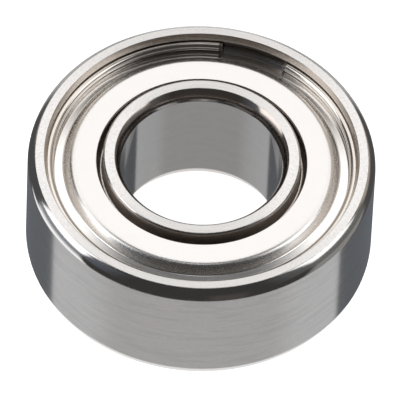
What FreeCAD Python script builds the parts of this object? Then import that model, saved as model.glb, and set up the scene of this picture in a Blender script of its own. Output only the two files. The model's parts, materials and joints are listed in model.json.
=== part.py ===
import FreeCAD, Part
import math
import os
from types import SimpleNamespace

import Sketcher

# A shielded deep-groove ball bearing: two grooved rings, eight balls in a two-piece ribbon
# cage, and on each side a dished shield that a C-shaped snap wire holds in the outer ring.
#
# Millimetres. The origin is the centre of the bore, halfway between the two side faces,
# and +Z runs along the bore. Each revolved piece is drawn as an outline of (radius, height)
# and turned about Z. The pieces of the lower side are the upper ones turned over about X.

SIZES = [
    # name, millimetres (or degrees, or a count), what it is
    ("bore_dia", 6.0, "bore of the inner ring"),
    ("outside_dia", 13.0, "outside diameter of the outer ring"),
    ("ring_width", 5.0, "width of both rings"),
    ("ball_count", 8, "balls"),
    ("ball_dia", 2.0, "ball diameter"),
    ("pitch_dia", 9.5, "circle through the ball centres"),
    ("race_play", 0.01, "gap from a ball to each groove's floor"),
    ("race_radius", 1.04, "radius of both grooves' section"),
    ("inner_shoulder_dia", 8.3, "inner ring outside its groove"),
    ("outer_shoulder_dia", 10.7, "outer ring inside its groove"),
    ("corner_axial", 0.48, "corner of bore and outside, along the axis"),
    ("bore_corner", 0.26, "bore corner, across the axis"),
    ("bore_corner_radius", 0.745, "radius of the bore corner's arc"),
    ("outside_corner", 0.285, "outside corner, across the axis"),
    ("land_dia", 7.4, "inner ring's stepped end, inside the shield"),
    ("land_depth", 0.73, "depth of that step below the side face"),
    ("land_edge", 0.07, "stepped end's outer edge, across the axis"),
    ("land_edge_axial", 0.12, "stepped end's outer edge, along the axis"),
    ("land_fillet", 0.06, "fillet at the foot of the step"),
    ("step_flat", 0.02, "level part of the step, beyond the fillet"),
    ("step_slope", 30.0, "slope from there down to the shoulder, degrees"),
    ("shoulder_edge", 0.05, "rounding of the outer ring's shoulder"),
    ("mouth_dia", 11.76, "outer ring's face, inside edge"),
    ("lip_dia", 11.56, "lip that the snap wire sits behind"),
    ("lip_depth", 0.26, "depth of the lip below the side face"),
    ("recess_dia", 11.84, "wall of the shield's recess"),
    ("flank_depth", 0.4, "depth where the lip's flank meets that wall"),
    ("shield_bore", 7.86, "hole in the shield"),
    ("shield_dia", 11.52, "outside diameter of the shield"),
    ("shield_sheet", 0.15, "thickness of the shield"),
    ("shield_depth", 0.3, "depth of the shield's flat below the side face"),
    ("bend_dia", 9.52, "where the shield's flat starts to bend down"),
    ("bend_radius", 0.2, "middle radius of both bends"),
    ("bend_angle", 45.0, "slope between the bends, degrees"),
    ("rim_dia", 10.42, "where the shield's rim starts, on its upper side"),
    ("rim_angle", 8.0, "slope of the rim, degrees"),
    ("wire_dia", 0.36, "thickness of the snap wire"),
    ("wire_ring_dia", 11.43, "circle through the middle of the wire"),
    ("wire_gap", 25.0, "opening of the C, degrees"),
    ("wire_end", 84.0, "where the wire begins, degrees from +X"),
    ("wire_play", 0.005, "gap from the wire to the rim below it"),
    ("cage_width", 0.86, "width of the cage's strip"),
    ("cage_sheet", 0.13, "thickness of the strip"),
    ("pocket_play", 0.04, "gap from a ball to its pocket"),
    ("halves_gap", 0.01, "gap between the cage's halves"),
    ("tab_sheet", 0.11, "thickness of a clinched tab"),
    ("tab_reach", 0.33, "how far a tab folds in over the other half"),
    ("tab_angle", 9.5, "width of a tab, degrees"),
    ("tab_play", 0.02, "gap round a tab in its notch"),
    ("notch_play", 1.0, "how much wider a notch is than its tab, degrees"),
    ("trim_margin", 0.5, "how far a trimming cut passes the metal"),
]


class Size:
    """A length that knows its value and the spreadsheet formula it comes from."""

    def __init__(self, value, formula):
        self.value = value
        self.formula = formula

    def __add__(self, other):
        other = as_size(other)
        return Size(self.value + other.value, f"({self.formula} + {other.formula})")

    def __sub__(self, other):
        other = as_size(other)
        return Size(self.value - other.value, f"({self.formula} - {other.formula})")

    def __mul__(self, other):
        other = as_size(other)
        return Size(self.value * other.value, f"({self.formula} * {other.formula})")

    def __truediv__(self, other):
        other = as_size(other)
        return Size(self.value / other.value, f"({self.formula} / {other.formula})")

    def __neg__(self):
        return Size(-self.value, f"(-1 * {self.formula})")


def as_size(number):
    return number if isinstance(number, Size) else Size(float(number), str(number))


def root(size):
    return Size(math.sqrt(size.value), f"sqrt({size.formula})")


LEVEL = as_size(0)
HALF_TURN = as_size(180)
FULL_TURN = as_size(360)


def sine(degrees):
    return Size(math.sin(math.radians(degrees.value)), f"sin({degrees.formula})")


def cosine(degrees):
    return Size(math.cos(math.radians(degrees.value)), f"cos({degrees.formula})")


doc = FreeCAD.newDocument("ball_bearing")
sheet = doc.addObject("Spreadsheet::Sheet", "dims")
d = SimpleNamespace()


def add_size(name, value, content, meaning):
    """Give a size its own line in the spreadsheet, and keep it in d as a Size."""
    row = len(vars(d)) + 1
    sheet.set(f"A{row}", meaning)
    sheet.set(f"B{row}", content)
    sheet.setAlias(f"B{row}", name)
    setattr(d, name, Size(float(value), f"dims.{name}"))


def add_derived(name, size, meaning):
    """Add a size that the spreadsheet works out from the ones above it."""
    add_size(name, size.value, "=" + size.formula.replace("dims.", ""), meaning)


for size_name, size_value, size_meaning in SIZES:
    add_size(size_name, size_value, str(size_value), size_meaning)

# Radii and heights that several pieces share.
half_width = d.ring_width / 2
pitch_radius = d.pitch_dia / 2
ball_radius = d.ball_dia / 2
half_sheet = d.shield_sheet / 2
pocket_radius = ball_radius + d.pocket_play
strip_base = d.halves_gap / 2
strip_top = strip_base + d.cage_sheet
strip_inside = pitch_radius - d.cage_width / 2
strip_outside = pitch_radius + d.cage_width / 2

# How closely the spreadsheet's sizes must agree with the ones worked out here.
SAME_SIZE = 1e-6

STRAIGHT = None
TURNED_OVER = FreeCAD.Placement(FreeCAD.Vector(), FreeCAD.Rotation(FreeCAD.Vector(1, 0, 0), 180))


def origin_feature(body, role):
    return next(item for item in body.Origin.OriginFeatures if item.Role == role)


def new_sketch(body, name):
    """A sketch on the body's own XZ plane: x is the radius and y is the height."""
    sketch = body.newObject("Sketcher::SketchObject", name)
    sketch.AttachmentSupport = [(origin_feature(body, "XZ_Plane"), "")]
    sketch.MapMode = "FlatFace"
    return sketch


def bind(sketch, name, size, *references):
    """Add one dimension to a sketch and tie it to its formula."""
    kind = references[0]
    index = sketch.addConstraint(Sketcher.Constraint(kind, *references[1:], size.value))
    sketch.renameConstraint(index, name)
    sketch.setExpression(f"Constraints.{name}", size.formula)


def arc_between(start, end, radius):
    """The short arc from start to end. It turns left if radius is above zero, else right."""
    chord = end - start
    middle = (start + end) * 0.5
    left = FreeCAD.Vector(-chord.y, chord.x, 0).normalize()
    reach = math.sqrt(radius * radius - chord.Length * chord.Length / 4)
    centre = middle + left * math.copysign(reach, radius)
    circle = Part.Circle(centre, FreeCAD.Vector(0, 0, 1), abs(radius))
    first, last = (start, end) if radius > 0 else (end, start)
    first_angle = math.atan2(first.y - centre.y, first.x - centre.x)
    last_angle = math.atan2(last.y - centre.y, last.x - centre.x)
    return Part.ArcOfCircle(circle, first_angle, last_angle)


def draw_outline(sketch, corners):
    """Draw a closed outline, with every corner and radius tied to the sheet.

    Each corner is (radius, height, edge), where edge is what leads on to the next corner:
    STRAIGHT, or the Size of an arc's radius, below zero when the arc turns right.
    """
    points = [FreeCAD.Vector(x.value, y.value, 0) for x, y, _ in corners]
    joints = []
    for index, (_, _, edge) in enumerate(corners):
        start = points[index]
        end = points[(index + 1) % len(points)]
        if edge is STRAIGHT:
            geometry = sketch.addGeometry(Part.LineSegment(start, end))
            joints.append((geometry, 1, 2))
        else:
            geometry = sketch.addGeometry(arc_between(start, end, edge.value))
            leaves, arrives = (1, 2) if edge.value > 0 else (2, 1)
            joints.append((geometry, leaves, arrives))
    for index, (x, y, edge) in enumerate(corners):
        geometry, leaves, _ = joints[index]
        before, _, arrives = joints[index - 1]
        sketch.addConstraint(Sketcher.Constraint("Coincident", before, arrives, geometry, leaves))
        bind(sketch, f"radius_{index}", x, "DistanceX", -1, 1, geometry, leaves)
        bind(sketch, f"height_{index}", y, "DistanceY", -1, 1, geometry, leaves)
        if edge is not STRAIGHT:
            arc_radius = edge if edge.value > 0 else -edge
            bind(sketch, f"arc_{index}", arc_radius, "Radius", geometry)


def mirrored(upper):
    """Close an outline given from its lowest corner above the middle to its last one there.

    The lower half is the same corners in reverse, below the middle. The edge that leaves the
    last corner crosses the middle, and so does the one that comes back to the first.
    """
    edges = [edge for _, _, edge in upper]
    below = []
    for index in range(len(upper) - 1, -1, -1):
        radius, height, _ = upper[index]
        edge = edges[index - 1] if index > 0 else STRAIGHT
        below.append((radius, -height, edge))
    return upper + below


def turned(body, sketch, name, angle=FULL_TURN):
    """Revolve a sketch about Z, by default all the way round."""
    turn = body.newObject("PartDesign::Revolution", name)
    turn.Profile = sketch
    turn.ReferenceAxis = (sketch, ["V_Axis"])
    turn.setExpression("Angle", angle.formula)
    return turn


def turned_body(name, corners):
    body = doc.addObject("PartDesign::Body", name)
    sketch = new_sketch(body, f"{name}_outline")
    draw_outline(sketch, corners)
    turned(body, sketch, f"{name}_turn")
    return body


def corner_radius(across, along):
    """Radius of a corner that leaves the cylinder smoothly and meets the face at an edge."""
    return (across * across + along * along) / (across * 2)


def groove_edge(rise):
    """Height where a groove's arc comes out, this far above or below the arc's centre."""
    return root(d.race_radius * d.race_radius - rise * rise)


def make_inner_ring():
    bore = d.bore_dia / 2
    land = d.land_dia / 2
    shoulder = d.inner_shoulder_dia / 2
    step = half_width - d.land_depth
    slope_start = land + d.land_fillet + d.step_flat
    slope_end = step - (shoulder - slope_start) * sine(d.step_slope) / cosine(d.step_slope)
    groove_centre = pitch_radius - ball_radius - d.race_play + d.race_radius
    upper = [
        (shoulder, groove_edge(groove_centre - shoulder), STRAIGHT),
        (shoulder, slope_end, STRAIGHT),
        (slope_start, step, STRAIGHT),
        (land + d.land_fillet, step, -d.land_fillet),
        (land, step + d.land_fillet, STRAIGHT),
        (land, half_width - d.land_edge_axial, corner_radius(d.land_edge, d.land_edge_axial)),
        (land - d.land_edge, half_width, STRAIGHT),
        (bore + d.bore_corner, half_width, d.bore_corner_radius),
        (bore, half_width - d.corner_axial, STRAIGHT),
    ]
    corners = mirrored(upper)
    groove_radius, groove_height, _ = corners[-1]
    corners[-1] = (groove_radius, groove_height, -d.race_radius)
    return turned_body("inner_ring", corners)


def make_outer_ring():
    outside = d.outside_dia / 2
    shoulder = d.outer_shoulder_dia / 2
    recess = d.recess_dia / 2
    groove_centre = pitch_radius + ball_radius + d.race_play - d.race_radius
    upper = [
        (outside, half_width - d.corner_axial,
         corner_radius(d.outside_corner, d.corner_axial)),
        (outside - d.outside_corner, half_width, STRAIGHT),
        (d.mouth_dia / 2, half_width, STRAIGHT),
        (d.lip_dia / 2, half_width - d.lip_depth, STRAIGHT),
        (recess, half_width - d.flank_depth, STRAIGHT),
        (recess, d.seat_height, STRAIGHT),
        (shoulder + d.shoulder_edge, d.seat_height, d.shoulder_edge),
        (shoulder, d.seat_height - d.shoulder_edge, STRAIGHT),
        (shoulder, groove_edge(shoulder - groove_centre), -d.race_radius),
    ]
    return turned_body("outer_ring", mirrored(upper))


def bend_run(start, end):
    """How far the middle of the sheet goes out and down while its slope turns."""
    out = d.bend_radius * (sine(end) - sine(start))
    down = d.bend_radius * (cosine(start) - cosine(end))
    return out, down


def rim_fall(radius):
    """How far the rim goes down from its start to this radius."""
    return (radius - d.rim_radius) * sine(d.rim_angle) / cosine(d.rim_angle)


def place_shield_bends():
    """Work out where the middle of the shield's sheet starts and ends each of its runs."""
    out, down = bend_run(LEVEL, d.bend_angle)
    add_derived("slope_radius", d.bend_dia / 2 + out, "start of the shield's slope")
    add_derived("slope_height", half_width - d.shield_depth - half_sheet - down, "its height")
    out, down = bend_run(d.rim_angle, d.bend_angle)
    rim_radius = d.rim_dia / 2 - half_sheet * sine(d.rim_angle)
    slope_run = rim_radius - out - d.slope_radius
    slope_fall = slope_run * sine(d.bend_angle) / cosine(d.bend_angle)
    add_derived("foot_radius", rim_radius - out, "end of the shield's slope")
    add_derived("foot_height", d.slope_height - slope_fall, "its height")
    add_derived("rim_radius", rim_radius, "start of the shield's rim")
    add_derived("rim_height", d.foot_height - down, "its height")
    edge_radius = d.shield_dia / 2 - half_sheet * sine(d.rim_angle)
    add_derived("edge_radius", edge_radius, "end of the shield's rim")
    add_derived("edge_height", d.rim_height - rim_fall(edge_radius), "its height")
    add_derived("seat_height", d.edge_height - half_sheet * cosine(d.rim_angle),
                "height of the ring's seat, which the rim's edge rests on")


def make_shield(name):
    """A flat annulus, an S-bend down and a rim that slopes on down to the ring's seat."""
    flat = (d.bend_dia / 2, half_width - d.shield_depth - half_sheet, LEVEL)
    slope = (d.slope_radius, d.slope_height, d.bend_angle)
    foot = (d.foot_radius, d.foot_height, d.bend_angle)
    rim = (d.rim_radius, d.rim_height, d.rim_angle)
    edge = (d.edge_radius, d.edge_height, d.rim_angle)
    tight = d.bend_radius - half_sheet
    wide = d.bend_radius + half_sheet

    def under(point, bend):
        radius, height, angle = point
        return (radius - half_sheet * sine(angle), height - half_sheet * cosine(angle), bend)

    def over(point, bend):
        radius, height, angle = point
        return (radius + half_sheet * sine(angle), height + half_sheet * cosine(angle), bend)

    hole = d.shield_bore / 2
    flat_top = half_width - d.shield_depth
    return turned_body(name, [
        (hole, flat_top - d.shield_sheet, STRAIGHT),
        under(flat, -tight),
        under(slope, STRAIGHT),
        under(foot, wide),
        under(rim, STRAIGHT),
        under(edge, STRAIGHT),
        over(edge, STRAIGHT),
        over(rim, -tight),
        over(foot, STRAIGHT),
        over(slope, wide),
        over(flat, STRAIGHT),
        (hole, flat_top, STRAIGHT),
    ])


def make_snap_wire(name):
    """A round wire bent to an open C, resting on the shield's rim behind the ring's lip."""
    body = doc.addObject("PartDesign::Body", name)
    sketch = new_sketch(body, f"{name}_section")
    wire_radius = d.wire_dia / 2
    ring_radius = d.wire_ring_dia / 2
    above_rim = (half_sheet + wire_radius + d.wire_play) / cosine(d.rim_angle)
    height = d.rim_height - rim_fall(ring_radius) + above_rim
    centre = FreeCAD.Vector(ring_radius.value, height.value, 0)
    circle = Part.Circle(centre, FreeCAD.Vector(0, 0, 1), wire_radius.value)
    section = sketch.addGeometry(circle)
    bind(sketch, "ring_radius", ring_radius, "DistanceX", -1, 1, section, 3)
    bind(sketch, "height", height, "DistanceY", -1, 1, section, 3)
    bind(sketch, "wire_radius", wire_radius, "Radius", section)
    turned(body, sketch, f"{name}_turn", FULL_TURN - d.wire_gap)
    body.Placement = FreeCAD.Placement(
        FreeCAD.Vector(), FreeCAD.Rotation(FreeCAD.Vector(0, 0, 1), d.wire_end.value))
    return body


def around(body, feature, name):
    """Repeat one feature of a cage half once for each ball."""
    pattern = body.newObject("PartDesign::PolarPattern", name)
    pattern.Originals = [feature]
    pattern.Axis = (origin_feature(body, "Z_Axis"), [""])
    pattern.Angle = FULL_TURN.value
    pattern.setExpression("Occurrences", d.ball_count.formula)
    body.Tip = pattern
    doc.recompute()
    return pattern


def add_ball_shape(body, kind, name, radius):
    """A sphere on the pitch circle, halfway between the tab at +X and the next one."""
    sphere = body.newObject(kind, name)
    sphere.setExpression("Radius", radius.formula)
    angle = HALF_TURN / d.ball_count
    sphere.setExpression("Placement.Base.x", (pitch_radius * cosine(angle)).formula)
    sphere.setExpression("Placement.Base.y", (pitch_radius * sine(angle)).formula)
    doc.recompute()
    around(body, sphere, f"{name}s")


def add_tabs(body):
    """Tabs that pass the other half's outer edge and fold in over it."""
    wall = strip_outside - d.tab_sheet
    fold_under = strip_top + d.tab_play / 2
    fold_top = fold_under + d.tab_sheet
    sketch = new_sketch(body, f"{body.Name}_tab_outline")
    # The other half lies below this one, so the tab hangs down past it.
    draw_outline(sketch, [
        (wall, strip_top, STRAIGHT),
        (wall, -fold_under, STRAIGHT),
        (strip_outside - d.tab_reach, -fold_under, STRAIGHT),
        (strip_outside - d.tab_reach, -fold_top, STRAIGHT),
        (strip_outside, -fold_top, STRAIGHT),
        (strip_outside, strip_top, STRAIGHT),
    ])
    tab = turned(body, sketch, f"{body.Name}_tab", d.tab_angle)
    tab.Midplane = True
    doc.recompute()
    around(body, tab, f"{body.Name}_tabs")


def cut_notches(body):
    """Notches in the outer edge, which the other half's tabs pass through."""
    wall = strip_outside - d.tab_sheet - d.tab_play
    sketch = new_sketch(body, f"{body.Name}_notch_outline")
    draw_outline(sketch, [
        (wall, -d.trim_margin, STRAIGHT),
        (strip_outside + d.trim_margin, -d.trim_margin, STRAIGHT),
        (strip_outside + d.trim_margin, d.trim_margin, STRAIGHT),
        (wall, d.trim_margin, STRAIGHT),
    ])
    notch = body.newObject("PartDesign::Groove", f"{body.Name}_notch")
    notch.Profile = sketch
    notch.ReferenceAxis = (sketch, ["V_Axis"])
    notch.Midplane = True
    notch.setExpression("Angle", (d.tab_angle + d.notch_play).formula)
    doc.recompute()
    around(body, notch, f"{body.Name}_notches")


def make_cage_half(name, tabbed):
    """A flat strip with a round pocket pressed up over each ball."""
    shell_radius = pocket_radius + d.cage_sheet
    body = doc.addObject("PartDesign::Body", name)
    strip = new_sketch(body, f"{name}_strip_outline")
    draw_outline(strip, [
        (strip_inside, strip_base, STRAIGHT),
        (strip_outside, strip_base, STRAIGHT),
        (strip_outside, strip_top, STRAIGHT),
        (strip_inside, strip_top, STRAIGHT),
    ])
    turned(body, strip, f"{name}_strip")
    doc.recompute()
    add_ball_shape(body, "PartDesign::AdditiveSphere", f"{name}_shell", shell_radius)
    add_ball_shape(body, "PartDesign::SubtractiveSphere", f"{name}_pocket", pocket_radius)

    inside = pitch_radius - shell_radius - d.trim_margin
    outside = pitch_radius + shell_radius + d.trim_margin
    reach = shell_radius + d.trim_margin
    trim = new_sketch(body, f"{name}_trim_outline")
    draw_outline(trim, [
        (inside, -reach, STRAIGHT),
        (outside, -reach, STRAIGHT),
        (outside, reach, STRAIGHT),
        (strip_outside, reach, STRAIGHT),
        (strip_outside, strip_base, STRAIGHT),
        (strip_inside, strip_base, STRAIGHT),
        (strip_inside, reach, STRAIGHT),
        (inside, reach, STRAIGHT),
    ])
    cut = body.newObject("PartDesign::Groove", f"{name}_trim")
    cut.Profile = trim
    cut.ReferenceAxis = (trim, ["V_Axis"])
    cut.Angle = FULL_TURN.value
    doc.recompute()
    if tabbed:
        add_tabs(body)
    else:
        cut_notches(body)
    return body


def make_ball(number):
    ball = doc.addObject("Part::Sphere", f"ball_{number}")
    ball.setExpression("Radius", ball_radius.formula)
    angle = HALF_TURN * (2 * number - 1) / d.ball_count
    ball.setExpression("Placement.Base.x", (pitch_radius * cosine(angle)).formula)
    ball.setExpression("Placement.Base.y", (pitch_radius * sine(angle)).formula)
    return ball


def make_bearing():
    """Build every piece and return them in the order they are listed."""
    place_shield_bends()
    doc.recompute()
    shield_below = make_shield("shield_bottom")
    shield_below.Placement = TURNED_OVER
    wire_below = make_snap_wire("snap_wire_bottom")
    wire_below.Placement = TURNED_OVER * wire_below.Placement
    cage_below = make_cage_half("cage_lower", tabbed=True)
    cage_below.Placement = TURNED_OVER
    pieces = [
        make_outer_ring(),
        make_inner_ring(),
        make_shield("shield_top"),
        shield_below,
        make_snap_wire("snap_wire_top"),
        wire_below,
        make_cage_half("cage_upper", tabbed=False),
        cage_below,
    ]
    pieces += [make_ball(number) for number in range(1, int(d.ball_count.value) + 1)]
    doc.recompute()
    return pieces


def check(pieces):
    for item in doc.Objects:
        if "Invalid" in item.State or "Error" in item.State:
            raise RuntimeError(f"{item.Name} did not recompute: {item.State}")
    for name, size in vars(d).items():
        if not math.isclose(sheet.get(name), size.value, abs_tol=SAME_SIZE):
            raise RuntimeError(f"{name} is {sheet.get(name)} in the sheet, not {size.value}")
    for piece in pieces:
        if piece.Shape.isNull() or not piece.Shape.isValid() or len(piece.Shape.Solids) != 1:
            raise RuntimeError(f"{piece.Label} is not one valid solid")


pieces = make_bearing()
check(pieces)
os.makedirs("parts", exist_ok=True)
for piece in pieces:
    piece.Shape.exportStep(f"parts/{piece.Label}.step")
    box = piece.Shape.optimalBoundingBox(False, False)
    print(f"{piece.Label:18s} {piece.Shape.Volume:9.4f} mm3  z {box.ZMin:7.3f} to {box.ZMax:7.3f}")
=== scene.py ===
import json
import math

import bmesh
import bpy
from mathutils import Matrix, Vector


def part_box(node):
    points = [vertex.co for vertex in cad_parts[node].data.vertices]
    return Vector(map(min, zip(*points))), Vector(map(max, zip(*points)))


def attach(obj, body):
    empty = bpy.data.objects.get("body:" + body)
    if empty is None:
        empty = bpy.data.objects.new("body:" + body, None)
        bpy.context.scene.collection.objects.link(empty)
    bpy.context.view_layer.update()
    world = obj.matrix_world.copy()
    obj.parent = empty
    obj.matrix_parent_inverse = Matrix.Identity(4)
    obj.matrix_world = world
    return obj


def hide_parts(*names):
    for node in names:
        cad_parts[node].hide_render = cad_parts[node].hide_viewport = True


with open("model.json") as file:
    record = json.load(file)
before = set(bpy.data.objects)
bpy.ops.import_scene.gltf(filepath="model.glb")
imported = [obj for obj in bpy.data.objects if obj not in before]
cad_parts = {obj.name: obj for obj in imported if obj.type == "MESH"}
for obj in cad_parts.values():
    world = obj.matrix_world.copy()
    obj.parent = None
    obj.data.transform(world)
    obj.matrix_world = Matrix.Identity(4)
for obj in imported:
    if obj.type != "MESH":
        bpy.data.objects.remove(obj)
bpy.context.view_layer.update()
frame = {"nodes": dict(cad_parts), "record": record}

# A shielded ball bearing. Every piece is rebuilt here as a fine mesh on the CAD frame and
# stands for its CAD node. Outlines are in millimetres, as (radius, height) round the bore's
# axis; MM turns them into the scene's metres.

MM = 0.001
MICROMETRE = MM / 1000

# Sizes read from the frame, in millimetres.
mounts = {mount["name"]: mount for mount in frame["record"]["mounts"]}


def radius_of(node):
    """How far a node round the bore's axis reaches from it."""
    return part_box(node)[1].x / MM


def top_of(node):
    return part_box(node)[1].z / MM


def bottom_of(node):
    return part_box(node)[0].z / MM


OUTSIDE = mounts["outside"]["dims"]["r_mm"]
BORE = mounts["bore"]["dims"]["r_mm"]
HALF_WIDTH = top_of("outer_ring")
CORNER_AXIAL = HALF_WIDTH - mounts["bore"]["dims"]["length_mm"] / 2
INNER_SHOULDER = radius_of("inner_ring")
SHIELD_RADIUS = radius_of("shield_top")
SHIELD_TOP = top_of("shield_top")
SEAT_HEIGHT = bottom_of("shield_top")
WIRE_RADIUS = (top_of("snap_wire_top") - bottom_of("snap_wire_top")) / 2
WIRE_HEIGHT = (top_of("snap_wire_top") + bottom_of("snap_wire_top")) / 2
WIRE_RING = radius_of("snap_wire_top") - WIRE_RADIUS
BALL_RADIUS = top_of("ball_1")
BALLS = [name for name in sorted(frame["nodes"]) if name.startswith("ball_")]
CAGE_OUTSIDE = radius_of("cage_lower")
CAGE_BASE = bottom_of("cage_upper")
ball_centre = sum(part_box("ball_1"), Vector()) / 2 / MM
PITCH_RADIUS = math.hypot(ball_centre.x, ball_centre.y)
CAGE_INSIDE = 2 * PITCH_RADIUS - CAGE_OUTSIDE
FIRST_BALL_ANGLE = math.atan2(ball_centre.y, ball_centre.x)
HALF_PITCH = math.pi / len(BALLS)

# The rings' sections.
OUTSIDE_CORNER = 0.285
BORE_CORNER = 0.26
BORE_CORNER_RADIUS = 0.745
RACE_RADIUS = 1.04
RACE_PLAY = 0.01
OUTER_SHOULDER = 5.35
SHOULDER_EDGE = 0.05
MOUTH = 5.88
LIP = 5.78
LIP_DEPTH = 0.26
RECESS = 5.92
FLANK_DEPTH = 0.40
LAND = 3.70
LAND_DEPTH = 0.73
LAND_EDGE = 0.07
LAND_EDGE_AXIAL = 0.12
STEP_FLAT = 0.02
STEP_SLOPE = math.radians(30)
LAND_FILLET = 0.06
EDGE_BREAK = 0.02

# The shield's section, whose bends are given at mid sheet.
SHIELD_HOLE = 3.93
SHIELD_SHEET = 0.15
BEND_START = 4.76
RIM_START = 5.21
RIM_ANGLE = math.radians(8)
BEND_RADIUS = 0.2
BEND_ANGLE = math.radians(45)

# The snap wire's opening, in degrees from +X.
WIRE_GAP_FROM = 59
WIRE_GAP_TO = 84

# The cage's strip, its clinched tabs and the notches they pass through.
CAGE_SHEET = 0.13
POCKET_PLAY = 0.04
TAB_SHEET = 0.11
TAB_REACH = 0.33
TAB_PLAY = 0.02
TAB_HALF_ANGLE = math.radians(4.75)
NOTCH_HALF_ANGLE = math.radians(5.25)
# The angle over which the strip's edge falls at each side of a notch.
NOTCH_FLARE = math.radians(0.25)

# How finely the round shapes are stepped.
ARC_STEP = math.radians(7)
EASE_STEPS = 3
TURN_STEPS = 240
WIRE_STEPS = 220
WIRE_SIDES = 24
POCKET_STEPS = 24
STRIP_STEPS = 6
TAB_STEPS = 6
BALL_SUBDIVISIONS = 4

# An outline has a corner to ease where it turns by more than this, and a corner takes no more
# than this share of each edge beside it.
SHARP_TURN = math.radians(4)
MOST_CUT = 0.3
# The cage's faces meet in a crease where they turn by more than this.
CREASE = math.radians(40)

TURNED_OVER = Matrix.Rotation(math.pi, 4, "X")
# In an outline, the bend of a line.
STRAIGHT = 0


# ---------------------------------------------------------------- outlines


def arc_centre(start, end, radius):
    """Centre of the short arc from start to end, which turns left if radius is above zero."""
    chord = end - start
    left = Vector((-chord.y, chord.x)).normalized()
    reach = math.sqrt(radius * radius - chord.length_squared / 4)
    return (start + end) / 2 + left * math.copysign(reach, radius)


class Edge:
    """One line or arc of an outline, which can be shortened at both ends."""

    def __init__(self, start, end, radius):
        self.start, self.end, self.radius = start, end, radius
        self.length = (end - start).length
        if radius != STRAIGHT:
            self.centre = arc_centre(start, end, radius)
            spoke, last = start - self.centre, end - self.centre
            self.first_angle = math.atan2(spoke.y, spoke.x)
            sweep = math.atan2(last.y, last.x) - self.first_angle
            turn = math.tau if radius > 0 else -math.tau
            self.sweep = sweep if sweep * turn > 0 else sweep + turn
            self.length = abs(self.sweep * radius)

    def at(self, distance):
        """Point and direction this far along the edge."""
        if self.radius == STRAIGHT:
            along = (self.end - self.start).normalized()
            return self.start + along * distance, along
        angle = self.first_angle + self.sweep * distance / self.length
        spoke = Vector((math.cos(angle), math.sin(angle)))
        side = math.copysign(1, self.radius)
        return self.centre + spoke * abs(self.radius), Vector((-spoke.y, spoke.x)) * side

    def samples(self, cut_start, cut_end):
        """Points and directions between the cuts, at most one step apart on an arc."""
        reach = self.length - cut_start - cut_end
        count = 1
        if self.radius != STRAIGHT:
            count = max(2, math.ceil(reach / abs(self.radius) / ARC_STEP))
        return [self.at(cut_start + reach * i / count) for i in range(count + 1)]


def corner_cut(edge):
    """How much of an edge the easing of a corner takes."""
    return min(EDGE_BREAK, edge.length * MOST_CUT)


def rounded_outline(corners):
    """Points and outward normals round a closed outline, with its sharp corners eased.

    Each corner is (radius, height, bend), where bend is what leads on to the next corner:
    STRAIGHT or an arc's radius, below zero when it turns right. The metal is on the left.
    """
    points = [Vector((r, z)) for r, z, _ in corners]
    edges = [
        Edge(points[i], points[(i + 1) % len(points)], corners[i][2])
        for i in range(len(points))
    ]
    sharp = []
    for i, edge in enumerate(edges):
        before = edges[i - 1]
        turn = before.at(before.length)[1].angle(edge.at(0)[1])
        sharp.append(turn > SHARP_TURN)
    loop = []
    for i, edge in enumerate(edges):
        after = (i + 1) % len(edges)
        cut = corner_cut(edge)
        run = edge.samples(cut * sharp[i], cut * sharp[after])
        loop += run if sharp[i] or not loop else run[1:]
        if sharp[after]:
            following = edges[after]
            loop += eased(run[-1], points[after], following.at(corner_cut(following)))
    if not sharp[0]:
        loop.pop()
    return [(point, Vector((along.y, -along.x))) for point, along in loop]


def eased(arriving, corner, leaving):
    """The inside points of a small round from one edge to the next, past a corner."""
    start, end = arriving[0], leaving[0]
    run = []
    for i in range(1, EASE_STEPS):
        t = i / EASE_STEPS
        point = start * (1 - t) ** 2 + corner * 2 * t * (1 - t) + end * t**2
        along = (corner - start) * (1 - t) + (end - corner) * t
        run.append((point, along.normalized()))
    return run


def mirrored(upper):
    """Close an outline given only above the middle, from its lowest corner to its last."""
    below = []
    for i in range(len(upper) - 1, -1, -1):
        radius, height, _ = upper[i]
        below.append((radius, -height, upper[i - 1][2] if i > 0 else STRAIGHT))
    return upper + below


# ---------------------------------------------------------------- meshes


def mesh_object(name, vertices, faces, normals=None):
    """A smooth object from vertices in millimetres, with its own normals where they are given."""
    mesh = bpy.data.meshes.new(name)
    mesh.from_pydata([v * MM for v in vertices], [], faces)
    mesh.shade_smooth()
    if normals:
        mesh.normals_split_custom_set_from_vertices(normals)
    piece = bpy.data.objects.new(name, mesh)
    bpy.context.scene.collection.objects.link(piece)
    return piece


def turned(name, outline):
    """Turn a closed outline all the way round the Z axis."""
    vertices, normals, faces = [], [], []
    count = len(outline)
    for i in range(TURN_STEPS):
        angle = math.tau * i / TURN_STEPS
        c, s = math.cos(angle), math.sin(angle)
        for point, normal in outline:
            vertices.append(Vector((point.x * c, point.x * s, point.y)))
            normals.append(Vector((normal.x * c, normal.x * s, normal.y)))
        here, there = i * count, (i + 1) % TURN_STEPS * count
        for j in range(count):
            k = (j + 1) % count
            faces.append((here + j, there + j, there + k, here + k))
    return mesh_object(name, vertices, faces, normals)


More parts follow.
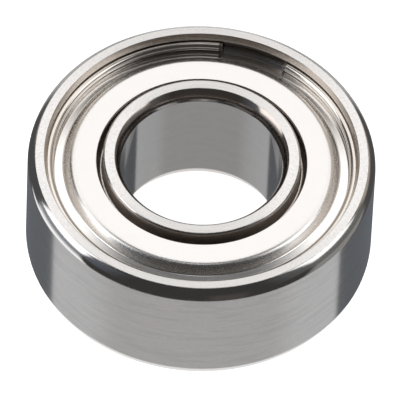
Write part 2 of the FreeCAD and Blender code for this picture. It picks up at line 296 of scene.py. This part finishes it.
def outer_ring_outline():
    """Rounded outside corners, a recess for the shield in each side and the balls' groove."""
    corner = (OUTSIDE_CORNER**2 + CORNER_AXIAL**2) / (2 * OUTSIDE_CORNER)
    centre = PITCH_RADIUS + BALL_RADIUS + RACE_PLAY - RACE_RADIUS
    groove_edge = math.sqrt(RACE_RADIUS**2 - (OUTER_SHOULDER - centre) ** 2)
    return mirrored([
        (OUTSIDE, HALF_WIDTH - CORNER_AXIAL, corner),
        (OUTSIDE - OUTSIDE_CORNER, HALF_WIDTH, STRAIGHT),
        (MOUTH, HALF_WIDTH, STRAIGHT),
        (LIP, HALF_WIDTH - LIP_DEPTH, STRAIGHT),
        (RECESS, HALF_WIDTH - FLANK_DEPTH, STRAIGHT),
        (RECESS, SEAT_HEIGHT, STRAIGHT),
        (OUTER_SHOULDER + SHOULDER_EDGE, SEAT_HEIGHT, SHOULDER_EDGE),
        (OUTER_SHOULDER, SEAT_HEIGHT - SHOULDER_EDGE, STRAIGHT),
        (OUTER_SHOULDER, groove_edge, -RACE_RADIUS),
    ])


def inner_ring_outline():
    """Ends stepped down inside the shields, the balls' groove and a bore with rounded corners."""
    land_corner = (LAND_EDGE**2 + LAND_EDGE_AXIAL**2) / (2 * LAND_EDGE)
    centre = PITCH_RADIUS - BALL_RADIUS - RACE_PLAY + RACE_RADIUS
    groove_edge = math.sqrt(RACE_RADIUS**2 - (centre - INNER_SHOULDER) ** 2)
    step = HALF_WIDTH - LAND_DEPTH
    slope_start = LAND + LAND_FILLET + STEP_FLAT
    slope_end = step - (INNER_SHOULDER - slope_start) * math.tan(STEP_SLOPE)
    outline = mirrored([
        (INNER_SHOULDER, groove_edge, STRAIGHT),
        (INNER_SHOULDER, slope_end, STRAIGHT),
        (slope_start, step, STRAIGHT),
        (LAND + LAND_FILLET, step, -LAND_FILLET),
        (LAND, step + LAND_FILLET, STRAIGHT),
        (LAND, HALF_WIDTH - LAND_EDGE_AXIAL, land_corner),
        (LAND - LAND_EDGE, HALF_WIDTH, STRAIGHT),
        (BORE + BORE_CORNER, HALF_WIDTH, BORE_CORNER_RADIUS),
        (BORE, HALF_WIDTH - CORNER_AXIAL, STRAIGHT),
    ])
    # The groove closes the outline, from its last corner to its first.
    outline[-1] = (*outline[-1][:2], -RACE_RADIUS)
    return outline


def downhill(angle):
    """The direction of a slope that falls away from the axis at this angle."""
    return Vector((math.cos(angle), -math.sin(angle)))


def off_slope(angle):
    """The direction straight up from that slope."""
    return Vector((math.sin(angle), math.cos(angle)))


def shield_spine():
    """The middle of the sheet wherever a line of it meets an arc, with its slope there."""
    half = SHIELD_SHEET / 2
    first_bend = (off_slope(BEND_ANGLE) - off_slope(0)) * BEND_RADIUS
    second_bend = (off_slope(BEND_ANGLE) - off_slope(RIM_ANGLE)) * BEND_RADIUS
    flat = Vector((BEND_START, SHIELD_TOP - half))
    upper = flat + first_bend
    rim_at = RIM_START - half * math.sin(RIM_ANGLE)
    slope = (rim_at - second_bend.x - upper.x) / math.cos(BEND_ANGLE)
    lower = upper + downhill(BEND_ANGLE) * slope
    rim = lower + second_bend
    rim_length = (SHIELD_RADIUS - half * math.sin(RIM_ANGLE) - rim.x) / math.cos(RIM_ANGLE)
    edge = rim + downhill(RIM_ANGLE) * rim_length
    return [(flat, 0), (upper, BEND_ANGLE), (lower, BEND_ANGLE), (rim, RIM_ANGLE),
            (edge, RIM_ANGLE)]


def shield_outline():
    """A flat annulus, an S-bend down and a rim that goes on down a little to its seat."""
    half = SHIELD_SHEET / 2
    tight, wide = BEND_RADIUS - half, BEND_RADIUS + half
    spine = shield_spine()
    below = [point - off_slope(angle) * half for point, angle in spine]
    above = [point + off_slope(angle) * half for point, angle in reversed(spine)]
    bends_out = (-tight, STRAIGHT, wide, STRAIGHT, STRAIGHT)
    bends_back = (STRAIGHT, -tight, STRAIGHT, wide, STRAIGHT)
    outline = [(SHIELD_HOLE, SHIELD_TOP - SHIELD_SHEET, STRAIGHT)]
    outline += [(*point, bend) for point, bend in zip(below, bends_out)]
    outline += [(*point, bend) for point, bend in zip(above, bends_back)]
    return outline + [(SHIELD_HOLE, SHIELD_TOP, STRAIGHT)]


def make_snap_wire(name):
    """A round wire in an open C, with slightly eased ends."""
    start, end = math.radians(WIRE_GAP_TO), math.radians(WIRE_GAP_FROM + 360)
    ease = EDGE_BREAK / WIRE_RING
    end_radius = WIRE_RADIUS - EDGE_BREAK
    # Stations along the wire: the angle and the wire's radius there.
    stations = [(start, end_radius), (start + ease, WIRE_RADIUS)]
    stations += [(start + (end - start) * i / WIRE_STEPS, WIRE_RADIUS)
                 for i in range(1, WIRE_STEPS)]
    stations += [(end - ease, WIRE_RADIUS), (end, end_radius)]
    vertices, faces = [], []
    for angle, radius in stations:
        for j in range(WIRE_SIDES):
            spin = math.tau * j / WIRE_SIDES
            r = WIRE_RING + radius * math.cos(spin)
            z = WIRE_HEIGHT + radius * math.sin(spin)
            vertices.append(Vector((r * math.cos(angle), r * math.sin(angle), z)))
    for i in range(len(stations) - 1):
        for j in range(WIRE_SIDES):
            k = (j + 1) % WIRE_SIDES
            a, b = i * WIRE_SIDES, (i + 1) * WIRE_SIDES
            faces.append((a + j, b + j, b + k, a + k))
    faces.append(tuple(range(WIRE_SIDES)))
    last = (len(stations) - 1) * WIRE_SIDES
    faces.append(tuple(last + j for j in reversed(range(WIRE_SIDES))))
    piece = mesh_object(name, vertices, faces)
    # The two ends were added last.
    for face in piece.data.polygons[-2:]:
        face.use_smooth = False
    return piece


def pocket_foot(radius, sphere, level):
    """Half the angle that a ball's pocket spans at this radius, where it meets the strip."""
    squares = radius**2 + PITCH_RADIUS**2 + level**2 - sphere**2
    return math.acos(squares / (2 * PITCH_RADIUS * radius))


def pocket_height(radius, angle, sphere):
    """Height of a pocket's sphere at this angle from its middle."""
    across = radius**2 + PITCH_RADIUS**2 - 2 * PITCH_RADIUS * radius * math.cos(angle)
    return math.sqrt(sphere**2 - across)


def strip_edge(angle, notched):
    """The strip's outer radius at this angle from a pocket's middle."""
    notch_side = HALF_PITCH - NOTCH_HALF_ANGLE
    if notched and abs(angle) > notch_side - NOTCH_FLARE / 2:
        return CAGE_OUTSIDE - TAB_SHEET - TAB_PLAY
    return CAGE_OUTSIDE


def strip_stations():
    """Places round one pocket: (angle, None) on the flat, (None, share of its foot) over it."""
    notch_side = HALF_PITCH - NOTCH_HALF_ANGLE
    flats = [notch_side - NOTCH_FLARE, notch_side]
    # Closer together towards the pocket's foot, where it is steepest.
    shares = [math.sin(math.pi / 2 * (2 * i / POCKET_STEPS - 1)) for i in range(POCKET_STEPS + 1)]
    stations = [(-HALF_PITCH, None)] + [(-angle, None) for angle in reversed(flats)]
    stations += [(None, share) for share in shares]
    return stations + [(angle, None) for angle in flats]


def strip_vertices(stations, notched):
    """Points of both skins at each station of every pocket, from the strip's inside outwards."""
    skins = [(BALL_RADIUS + POCKET_PLAY + CAGE_SHEET, CAGE_BASE + CAGE_SHEET),
             (BALL_RADIUS + POCKET_PLAY, CAGE_BASE)]
    vertices = []
    for ball in range(len(BALLS)):
        middle = FIRST_BALL_ANGLE + 2 * HALF_PITCH * ball
        for flat, share in stations:
            edge = CAGE_OUTSIDE if flat is None else strip_edge(flat, notched)
            for j in range(STRIP_STEPS + 1):
                radius = CAGE_INSIDE + (edge - CAGE_INSIDE) * j / STRIP_STEPS
                for sphere, level in skins:
                    angle, height = flat, level
                    if flat is None:
                        angle = share * pocket_foot(radius, sphere, level)
                        height = pocket_height(radius, angle, sphere)
                    turn = middle + angle
                    vertices.append(Vector(
                        (radius * math.cos(turn), radius * math.sin(turn), height)))
    return vertices


def strip_faces(count):
    """Faces of both skins between this many stations, and along the strip's two edges."""
    faces = []
    last = STRIP_STEPS * 2
    size = last + 2
    for i in range(count):
        here, there = i * size, (i + 1) % count * size
        for j in range(0, last, 2):
            faces.append((here + j, here + j + 2, there + j + 2, there + j))
            faces.append((here + j + 1, there + j + 1, there + j + 3, here + j + 3))
        faces.append((here + last + 1, there + last + 1, there + last, here + last))
        faces.append((here, there, there + 1, here + 1))
    return faces


def tab_mesh(middle):
    """Vertices and faces of one tab, which passes the other half's edge and folds in over it."""
    wall = CAGE_OUTSIDE - TAB_SHEET
    top = CAGE_BASE + CAGE_SHEET
    fold = top + TAB_PLAY / 2
    outline = rounded_outline([
        (wall, top, STRAIGHT),
        (wall, -fold, STRAIGHT),
        (CAGE_OUTSIDE - TAB_REACH, -fold, STRAIGHT),
        (CAGE_OUTSIDE - TAB_REACH, -fold - TAB_SHEET, STRAIGHT),
        (CAGE_OUTSIDE, -fold - TAB_SHEET, STRAIGHT),
        (CAGE_OUTSIDE, top, STRAIGHT),
    ])
    count = len(outline)
    vertices, faces = [], []
    for i in range(TAB_STEPS + 1):
        angle = middle + TAB_HALF_ANGLE * (2 * i / TAB_STEPS - 1)
        for point, _ in outline:
            vertices.append(Vector(
                (point.x * math.cos(angle), point.x * math.sin(angle), point.y)))
    for i in range(TAB_STEPS):
        for j in range(count):
            k = (j + 1) % count
            a, b = i * count, (i + 1) * count
            faces.append((a + j, b + j, b + k, a + k))
    faces.append(tuple(range(count)))
    faces.append(tuple(TAB_STEPS * count + j for j in reversed(range(count))))
    return vertices, faces


def make_cage_half(name, tabbed):
    """One pressed half of the cage, with tabs or with the notches that tabs pass through."""
    stations = strip_stations()
    vertices = strip_vertices(stations, notched=not tabbed)
    faces = strip_faces(len(BALLS) * len(stations))
    if tabbed:
        for ball in range(len(BALLS)):
            more, tab_faces = tab_mesh(FIRST_BALL_ANGLE + HALF_PITCH * (2 * ball + 1))
            start = len(vertices)
            vertices += more
            faces += [tuple(start + v for v in face) for face in tab_faces]
    piece = mesh_object(name, vertices, faces)
    piece.data.set_sharp_from_angle(angle=CREASE)
    return piece


def make_ball(name, node):
    """A ball where its CAD node lies."""
    sphere = bmesh.new()
    bmesh.ops.create_icosphere(
        sphere, subdivisions=BALL_SUBDIVISIONS, radius=BALL_RADIUS * MM)
    mesh = bpy.data.meshes.new(name)
    sphere.to_mesh(mesh)
    sphere.free()
    mesh.shade_smooth()
    piece = bpy.data.objects.new(name, mesh)
    piece.location = sum(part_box(node), Vector()) / 2
    bpy.context.scene.collection.objects.link(piece)
    return piece


# ---------------------------------------------------------------- node helpers

# The Mix node's sockets for values and for colours, by number, as their names repeat.
VALUE_MIX = {"data_type": "FLOAT", "inputs": (2, 3), "output": 0}
COLOUR_MIX = {"data_type": "RGBA", "inputs": (6, 7), "output": 2}


class Graph:
    """Adds nodes to a tree. Any input can be a number, a colour or another node's output."""

    def __init__(self, tree):
        self.nodes = tree.nodes
        self.links = tree.links

    def feed(self, socket, value):
        if isinstance(value, bpy.types.NodeSocket):
            self.links.new(value, socket)
        else:
            socket.default_value = value

    def math(self, operation, *values):
        node = self.nodes.new("ShaderNodeMath")
        node.operation = operation
        for socket, value in zip(node.inputs, values):
            self.feed(socket, value)
        return node.outputs["Value"]

    def vector(self, operation, *values, result="Vector"):
        node = self.nodes.new("ShaderNodeVectorMath")
        node.operation = operation
        for socket, value in zip(node.inputs, values):
            self.feed(socket, value)
        return node.outputs[result]

    def mix(self, kind, weight, first, second):
        node = self.nodes.new("ShaderNodeMix")
        node.data_type = kind["data_type"]
        self.feed(node.inputs["Factor"], weight)
        for number, value in zip(kind["inputs"], (first, second)):
            self.feed(node.inputs[number], value)
        return node.outputs[kind["output"]]

    def fade(self, value, start, end, low=0.0, high=1.0):
        """From low at start to high at end, smoothly, and level beyond both."""
        node = self.nodes.new("ShaderNodeMapRange")
        node.interpolation_type = "SMOOTHSTEP"
        rising = start < end
        self.feed(node.inputs["Value"], value)
        node.inputs["From Min"].default_value = start if rising else end
        node.inputs["From Max"].default_value = end if rising else start
        node.inputs["To Min"].default_value = low if rising else high
        node.inputs["To Max"].default_value = high if rising else low
        return node.outputs["Result"]

    def noise(self, vector, scale, detail, fourth=None):
        """A noise pattern about 0.5, in four dimensions where a fourth one is given."""
        node = self.nodes.new("ShaderNodeTexNoise")
        self.feed(node.inputs["Vector"], vector)
        node.inputs["Scale"].default_value = scale
        node.inputs["Detail"].default_value = detail
        if fourth is not None:
            node.noise_dimensions = "4D"
            self.feed(node.inputs["W"], fourth)
        return node.outputs["Fac"]


# ---------------------------------------------------------------- materials

# How softly one zone of a surface gives way to the next, in millimetres.
ZONE_EDGE = 0.01
# How far inside the shield's first bend the drawn grain starts, and inside its rim the smooth
# finish.
DRAWN_LEAD = 0.08
RIM_LEAD = 0.12


def shaded(colour, share):
    """The same colour, this much of its brightness."""
    return (*(part * share for part in colour[:3]), 1)


class MetalGraph(Graph):
    """A metal, with the shaded point's place round the bore's axis to build its detail from."""

    def __init__(self, name):
        self.material = bpy.data.materials.new(name)
        self.material.use_nodes = True
        super().__init__(self.material.node_tree)
        self.shader = self.nodes["Principled BSDF"]
        self.shader.inputs["Metallic"].default_value = 1.0
        coordinates = self.nodes.new("ShaderNodeTexCoord")
        scale = 1 / MM
        self.point = self.vector("MULTIPLY", coordinates.outputs["Object"], (scale,) * 3)
        flat = self.vector("MULTIPLY", self.point, (1, 1, 0))
        self.radius = self.vector("LENGTH", flat, result="Value")
        self.spoke = self.vector("NORMALIZE", flat)
        self.height = self.part_z(self.point)
        self.normal = coordinates.outputs["Normal"]
        self.flatness = self.math("ABSOLUTE", self.part_z(self.normal))

    def part_z(self, vector):
        """A vector's Z part."""
        node = self.nodes.new("ShaderNodeSeparateXYZ")
        self.feed(node.inputs["Vector"], vector)
        return node.outputs["Z"]

    def between(self, value, low, high, softness):
        """One between low and high and nought beyond them, with soft edges."""
        rise = self.fade(value, low - softness, low)
        fall = self.fade(value, high, high + softness, 1.0, 0.0)
        return self.math("MULTIPLY", rise, fall)

    def vary(self, pattern, low, high, spread=0.2):
        """From low to high as a pattern goes this far to each side of its middle."""
        return self.fade(pattern, 0.5 - spread, 0.5 + spread, low, high)

    def mottled(self, pattern, colour, low, high):
        """A colour that varies with a pattern between two shares of its brightness."""
        weight = self.vary(pattern, 0.0, 1.0)
        return self.mix(COLOUR_MIX, weight, shaded(colour, low), shaded(colour, high))

    def layered(self, kind, base, *layers):
        """The base with (mask, value) layers laid over it, one after another."""
        for mask, value in layers:
            base = self.mix(kind, mask, base, value)
        return base

    def lines_round(self, across, along, detail):
        """Fine lines round the axis: this many changes a millimetre across, and few along."""
        rise = self.nodes.new("ShaderNodeCombineXYZ")
        self.feed(rise.inputs["Z"], self.math("MULTIPLY", self.height, across))
        around = self.vector("MULTIPLY", self.spoke, (along,) * 3)
        place_on_turn = self.vector("ADD", around, rise.outputs["Vector"])
        return self.noise(place_on_turn, 1.0, detail, self.math("MULTIPLY", self.radius, across))

    def anisotropic(self, amount):
        """Spread reflections across the lines that run round the axis."""
        quarter_turn = 0.25
        self.shader.inputs["Anisotropic"].default_value = amount
        self.shader.inputs["Anisotropic Rotation"].default_value = quarter_turn
        tangent = self.nodes.new("ShaderNodeTangent")
        tangent.direction_type = "RADIAL"
        tangent.axis = "Z"
        self.feed(self.shader.inputs["Tangent"], tangent.outputs["Tangent"])

    def bump(self, *layers):
        """Relief from (pattern, depth in micrometres) layers, one on another."""
        normal = None
        for pattern, depth in layers:
            node = self.nodes.new("ShaderNodeBump")
            node.inputs["Strength"].default_value = 1.0
            node.inputs["Distance"].default_value = depth * MICROMETRE
            self.feed(node.inputs["Height"], pattern)
            if normal is not None:
                self.feed(node.inputs["Normal"], normal)
            normal = node.outputs["Normal"]
        self.feed(self.shader.inputs["Normal"], normal)

    def finish(self, colour, roughness):
        self.feed(self.shader.inputs["Base Color"], colour)
        self.feed(self.shader.inputs["Roughness"], roughness)
        return self.material


def make_ring_steel():
    """Hardened steel: ground walls and faces, polished corners and turned recesses, with the
    bore's wall darkened by painted shade.
    """
    ground = (0.60, 0.59, 0.58, 1)
    stained = (0.58, 0.55, 0.52, 1)
    worn = (0.72, 0.71, 0.70, 1)
    turned_metal = (0.64, 0.58, 0.52, 1)
    step_metal = (0.66, 0.57, 0.50, 1)
    bore_corner_metal = (0.52, 0.465, 0.43, 1)
    g = MetalGraph("ring_steel")

    grain = g.noise(g.point, 13.0, 3.0)
    stains = g.noise(g.point, 0.7, 3.0)
    lines = g.lines_round(26.0, 2.5, 3.0)
    streaks = g.lines_round(9.0, 3.5, 5.0)
    smudges = g.lines_round(5.0, 4.0, 4.0)

    on_wall = g.fade(g.flatness, 0.1, 0.02)
    corner = g.between(g.flatness, 0.10, 0.88, 0.02)
    worn_edge = g.between(g.flatness, 0.90, 0.99, 0.02)
    recess = g.between(g.radius, LAND - ZONE_EDGE, MOUTH, ZONE_EDGE)
    lead_in = g.between(g.radius, LIP, MOUTH, ZONE_EDGE)
    step = g.between(g.radius, LAND - ZONE_EDGE, INNER_SHOULDER, ZONE_EDGE)
    # Where the bore's wall is, which the painted shade below darkens.
    bore_shade = g.fade(g.radius, BORE + 2 * ZONE_EDGE, BORE + ZONE_EDGE)
    bore_corner = g.between(
        g.radius, BORE + 3 * ZONE_EDGE, BORE + BORE_CORNER - ZONE_EDGE, ZONE_EDGE)

    light_marks = g.math("MULTIPLY", on_wall, g.fade(streaks, 0.45, 0.75, 0.0, 0.3))
    dull_marks = g.math("MULTIPLY", on_wall, g.fade(smudges, 0.38, 0.52, 0.5, 0.0))
    wear = g.math("MULTIPLY", worn_edge, g.fade(grain, 0.35, 0.6))
    colour = g.layered(
        COLOUR_MIX,
        g.mottled(grain, ground, 0.97, 1.03),
        (light_marks, shaded(ground, 1.15)),
        (dull_marks, shaded(ground, 0.88)),
        # Painted shade: the bore's wall is darkened to about three quarters of the ground steel's
        # brightness, standing in for the shade inside the bore.
        (g.math("MULTIPLY", bore_shade, 0.7), shaded(ground, 0.62)),
        (g.fade(stains, 0.55, 0.8, 0.0, 0.3), stained),
        (recess, g.mottled(lines, turned_metal, 0.9, 1.0)),
        (step, step_metal),
        (bore_corner, bore_corner_metal),
        (wear, worn),
    )
    roughness = g.layered(
        VALUE_MIX,
        g.vary(lines, 0.15, 0.20, spread=0.25),
        (on_wall, g.vary(lines, 0.09, 0.13, spread=0.25)),
        (corner, g.vary(grain, 0.09, 0.15)),
        (recess, g.vary(lines, 0.18, 0.25)),
        (lead_in, g.vary(lines, 0.14, 0.19)),
        (step, g.vary(lines, 0.32, 0.40)),
        (bore_corner, g.vary(grain, 0.13, 0.18)),
        (wear, 0.26),
    )
    g.anisotropic(0.75)
    g.bump((lines, 0.25), (streaks, 0.2), (grain, 0.14))
    return g.finish(colour, roughness)


def make_shield_steel():
    """Bright cold-rolled sheet: satin where it is flat, grained where it is drawn to a bend,
    smooth on the rim, with the punched hole's edge burnished."""
    sheet = (0.77, 0.755, 0.74, 1)
    burnished = (0.60, 0.58, 0.56, 1)
    g = MetalGraph("shield_steel")

    grain = g.noise(g.point, 21.0, 3.0)
    streaks = g.lines_round(9.0, 3.0, 3.0)
    stains = g.noise(g.point, 0.9, 2.0)

    hole_edge = g.fade(g.radius, SHIELD_HOLE + 3 * ZONE_EDGE, SHIELD_HOLE + ZONE_EDGE)
    drawn = g.fade(g.radius, BEND_START - DRAWN_LEAD, BEND_START + ZONE_EDGE)
    rim = g.fade(g.radius, RIM_START - RIM_LEAD, RIM_START)
    bends = g.math("MULTIPLY", drawn, g.fade(rim, 1.0, 0.0))

    colour = g.layered(
        COLOUR_MIX,
        g.mottled(grain, sheet, 0.96, 1.03),
        (g.fade(stains, 0.5, 0.8, 0.0, 0.25), shaded(sheet, 0.93)),
        (hole_edge, burnished),
    )
    roughness = g.layered(
        VALUE_MIX,
        g.vary(grain, 0.20, 0.26, spread=0.25),
        (bends, g.vary(grain, 0.23, 0.28)),
        (rim, g.vary(streaks, 0.10, 0.15, spread=0.25)),
        (hole_edge, 0.3),
    )
    relief = g.math("MULTIPLY", grain, g.fade(bends, 0.0, 1.0, 0.4, 1.5))
    g.bump((streaks, 0.4), (relief, 0.22))
    return g.finish(colour, roughness)


def make_wire_steel():
    """Drawn spring wire, with faint lines along it, a slightly warm tint and rough cut ends
    painted nearly black as painted shade.
    """
    drawn = (0.64, 0.605, 0.565, 1)
    end_shade = (0.12, 0.11, 0.10, 1)
    g = MetalGraph("wire_steel")
    lines = g.lines_round(30.0, 2.0, 3.0)
    grain = g.noise(g.point, 12.0, 2.0)
    along_wire = g.vector("CROSS_PRODUCT", g.spoke, (0, 0, 1))
    facing_end = g.vector("DOT_PRODUCT", along_wire, g.normal, result="Value")
    cut_end = g.fade(g.math("ABSOLUTE", facing_end), 0.02, 0.1)
    # Painted shade: the cut ends and the eased rims beside them are painted nearly black so that
    # they catch no light; they are also made rougher.
    colour = g.mix(COLOUR_MIX, cut_end, g.mottled(lines, drawn, 0.88, 1.06), end_shade)
    roughness = g.mix(VALUE_MIX, cut_end, g.vary(grain, 0.10, 0.17), 0.45)
    g.bump((lines, 0.4), (grain, 0.4))
    return g.finish(colour, roughness)


def make_cage_steel():
    """Pressed strip steel: duller, with a fine grain and brighter rubbed patches."""
    pressed = (0.50, 0.485, 0.465, 1)
    bright = (0.62, 0.60, 0.58, 1)
    g = MetalGraph("cage_steel")
    grain = g.noise(g.point, 8.0, 4.0)
    rubbed = g.fade(g.noise(g.point, 1.6, 2.0), 0.5, 0.7)
    colour = g.mix(COLOUR_MIX, rubbed, g.mottled(grain, pressed, 0.85, 1.1), bright)
    roughness = g.mix(VALUE_MIX, rubbed, g.vary(grain, 0.30, 0.42), 0.2)
    g.bump((grain, 1.5))
    return g.finish(colour, roughness)


def make_ball_steel():
    """Lapped bearing steel, close to a mirror, with only a breath of haze."""
    lapped = (0.66, 0.65, 0.64, 1)
    g = MetalGraph("ball_steel")
    haze = g.noise(g.point, 3.0, 4.0)
    g.bump((g.noise(g.point, 20.0, 2.0), 0.02))
    return g.finish(g.mottled(haze, lapped, 0.97, 1.03), g.fade(haze, 0.35, 0.75, 0.04, 0.08))


# ---------------------------------------------------------------- assembly


def place(piece, node, body, material, over=False):
    """Put a finished piece in the bearing in place of its CAD node."""
    if over:
        piece.data.transform(TURNED_OVER)
    piece.data.materials.append(material)
    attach(piece, body)
    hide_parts(node)


ring_steel = make_ring_steel()
shield_steel = make_shield_steel()
wire_steel = make_wire_steel()
cage_steel = make_cage_steel()
ball_steel = make_ball_steel()

outer = turned("outer_race", rounded_outline(outer_ring_outline()))
place(outer, "outer_ring", "outer", ring_steel)
inner = turned("inner_race", rounded_outline(inner_ring_outline()))
place(inner, "inner_ring", "inner", ring_steel)
for side in ("top", "bottom"):
    over = side == "bottom"
    shield = turned(f"shield_plate_{side}", rounded_outline(shield_outline()))
    place(shield, f"shield_{side}", "outer", shield_steel, over)
    wire = make_snap_wire(f"snap_ring_{side}")
    place(wire, f"snap_wire_{side}", "outer", wire_steel, over)

cage_upper = make_cage_half("ribbon_upper", tabbed=False)
place(cage_upper, "cage_upper", "cage", cage_steel)
cage_lower = make_cage_half("ribbon_lower", tabbed=True)
place(cage_lower, "cage_lower", "cage", cage_steel, over=True)
for node in BALLS:
    place(make_ball(f"polished_{node}", node), node, node, ball_steel)

# ---------------------------------------------------------------- floor, light and camera

# How far the floor reaches, in metres.
FLOOR_REACH = 2.0
# Just clear of the rings' lower faces, so that the two never share a plane.
FLOOR_GAP = 0.002
FLOOR_PAINT = (0.9, 0.9, 0.9, 1)
FLOOR_ROUGHNESS = 0.9
WHITE = (1.0, 1.0, 1.0, 1)
FLOOR_GLOW = 0.95


def make_floor():
    """A wide pale floor that lets the studio's lower half light the metal and show in it."""
    mesh = bpy.data.meshes.new("floor")
    signs = [(-1, -1), (1, -1), (1, 1), (-1, 1)]
    corners = [(x * FLOOR_REACH, y * FLOOR_REACH, 0) for x, y in signs]
    mesh.from_pydata(corners, [], [(0, 1, 2, 3)])
    paint = bpy.data.materials.new("floor_paint")
    paint.use_nodes = True
    shader = paint.node_tree.nodes["Principled BSDF"]
    shader.inputs["Base Color"].default_value = FLOOR_PAINT
    shader.inputs["Roughness"].default_value = FLOOR_ROUGHNESS
    shader.inputs["Emission Color"].default_value = WHITE
    shader.inputs["Emission Strength"].default_value = FLOOR_GLOW
    mesh.materials.append(paint)
    sheet = bpy.data.objects.new("floor", mesh)
    sheet.location.z = -(HALF_WIDTH + FLOOR_GAP) * MM
    sheet.visible_glossy = False
    sheet.visible_shadow = False
    bpy.context.scene.collection.objects.link(sheet)
    return sheet


floor = make_floor()

# The studio round the bearing: panels of light and dark by direction, laid one over another.
# Each is (azimuth from, azimuth to, its softness, elevation from, elevation to, its softness,
# colour), in degrees from +X and above the horizon. The camera stands at azimuth 270.
PANELS = [
    # The grey ceiling with its light straight overhead.
    (-10, 190, 10, 66, 100, 5, (0.22, 0.22, 0.22)),
    (0, 360, 0, 84, 100, 3, (1.1, 1.1, 1.1)),
    # The white table, a grey band of it round the front and a dark one at the back.
    (0, 360, 0, -100, -64, 4, (1.15, 1.15, 1.15)),
    (0, 360, 0, -66, -56, 3, (1.4, 1.4, 1.4)),
    (157, 380, 1.5, -58, -44, 3, (0.66, 0.665, 0.675)),
    (208, 332, 14, -58, -44, 3, (0.56, 0.55, 0.545)),
    (22, 157, 1.5, -57, -38, 3, (0.145, 0.155, 0.17)),
    # The wall behind the bearing: dark sides, a bright middle and a dark gap over that.
    (110, 166, 2, -38, 46, 4, (0.10, 0.10, 0.105)),
    (22, 62, 3, -38, 20, 4, (0.10, 0.10, 0.10)),
    (62, 120, 5, -36, 20, 6, (0.60, 0.60, 0.60)),
    (82, 98, 4, -36, 5, 6, (1.2, 1.2, 1.2)),
    (22, 134, 6, 12, 46, 4, (0.56, 0.50, 0.44)),
    (74, 106, 5, 6, 44, 3, (0.12, 0.12, 0.11)),
    # The dark side, where the camera stands: a faint warm strip and its ends, a little lighter.
    (278, 298, 4, -34, 8, 10, (0.10, 0.088, 0.084)),
    (190, 220, 12, 0, 50, 8, (0.13, 0.142, 0.17)),
    (320, 350, 12, 0, 50, 8, (0.13, 0.13, 0.135)),
    # The white canopy over the back.
    (-15, 195, 8, 44, 62, 4, (1.52, 1.50, 1.49)),
    # The softbox on the left, the dim band under it and the lit sweep below.
    (164, 198, 2, 30, 64, 4, (2.0, 2.0, 2.0)),
    (167, 203, 2, 12, 36, 3, (2.0, 2.0, 2.0)),
    (167, 203, 2, -12, 12, 3, (0.36, 0.38, 0.41)),
    (165, 202, 2, -28, -12, 4, (1.0, 1.02, 1.05)),
    (152, 200, 2, -43, -26, 4, (1.6, 1.6, 1.6)),
    # The same on the right, fainter.
    (-20, 16, 4, 24, 64, 3, (1.8, 1.8, 1.8)),
    (-24, 20, 4, -10, 24, 3, (0.20, 0.20, 0.195)),
    (-22, 20, 4, -40, -10, 4, (0.38, 0.365, 0.35)),
]
DIM_ROOM = (0.058, 0.055, 0.053, 1)


def panel_weight(g, angle, start, end, softness):
    """One between two angles in degrees and nought outside them, with soft edges."""
    middle, half = math.radians(start + end) / 2, math.radians(end - start) / 2
    soft = math.radians(softness)
    offset = g.math("WRAP", g.math("SUBTRACT", angle, middle), math.pi, -math.pi)
    return g.fade(g.math("ABSOLUTE", offset), half + soft, half - soft)


def room_colour(g):
    """What lies in each direction: the dim room, with each panel laid over it in turn."""
    split = g.nodes.new("ShaderNodeSeparateXYZ")
    g.feed(split.inputs["Vector"], g.nodes.new("ShaderNodeTexCoord").outputs["Generated"])
    x, y, z = split.outputs
    azimuth = g.math("ARCTAN2", y, x)
    elevation = g.math("ARCSINE", z)
    colour = DIM_ROOM
    for az_from, az_to, az_soft, el_from, el_to, el_soft, shade in PANELS:
        weight = panel_weight(g, elevation, el_from, el_to, el_soft)
        # A panel without soft ends goes all the way round.
        if az_soft:
            across = panel_weight(g, azimuth, az_from, az_to, az_soft)
            weight = g.math("MULTIPLY", weight, across)
        colour = g.mix(COLOUR_MIX, weight, colour, (*shade, 1))
    return colour


def make_studio():
    """A world of light panels for the metal to mirror, behind a plain white backdrop."""
    world = bpy.data.worlds.new("studio")
    world.use_nodes = True
    g = Graph(world.node_tree)
    room = g.nodes["Background"]
    g.feed(room.inputs["Color"], room_colour(g))
    backdrop = g.nodes.new("ShaderNodeBackground")
    backdrop.inputs["Color"].default_value = WHITE
    shown = g.nodes.new("ShaderNodeMixShader")
    light_path = g.nodes.new("ShaderNodeLightPath")
    g.feed(shown.inputs["Fac"], light_path.outputs["Is Camera Ray"])
    g.feed(shown.inputs[1], room.outputs["Background"])
    g.feed(shown.inputs[2], backdrop.outputs["Background"])
    g.feed(g.nodes["World Output"].inputs["Surface"], shown.outputs["Shader"])
    bpy.context.scene.world = world


make_studio()
bpy.context.scene.view_settings.view_transform = "Standard"

CAMERA_ELEVATION = math.radians(51.84)
CAMERA_ROLL = math.radians(-2.58)
# In metres, except for the lens and sensor in millimetres.
CAMERA_DISTANCE = 0.39
CAMERA_NEAR = 0.01
CAMERA_FAR = 10
CAMERA_LENS = 941.4
CAMERA_SENSOR = 36
# The view's centre, from the middle of the top face: to the left and below, as seen.
AIM_LEFT = 0.0727
AIM_BELOW = 1.631


def make_camera():
    """A long lens from the front and above, a little rolled."""
    tilt = Matrix.Rotation(math.pi / 2 - CAMERA_ELEVATION, 3, "X")
    axes = tilt @ Matrix.Rotation(-CAMERA_ROLL, 3, "Z")
    target = Vector((0, 0, HALF_WIDTH)) + axes @ Vector((-AIM_LEFT, -AIM_BELOW, 0))
    stand = target * MM + axes @ Vector((0, 0, CAMERA_DISTANCE))
    data = bpy.data.cameras.new("camera")
    data.lens = CAMERA_LENS
    data.sensor_width = CAMERA_SENSOR
    data.clip_start = CAMERA_NEAR
    data.clip_end = CAMERA_FAR
    camera = bpy.data.objects.new("camera", data)
    camera.matrix_world = Matrix.Translation(stand) @ axes.to_4x4()
    bpy.context.scene.collection.objects.link(camera)
    bpy.context.scene.camera = camera


make_camera()

bpy.context.view_layer.update()
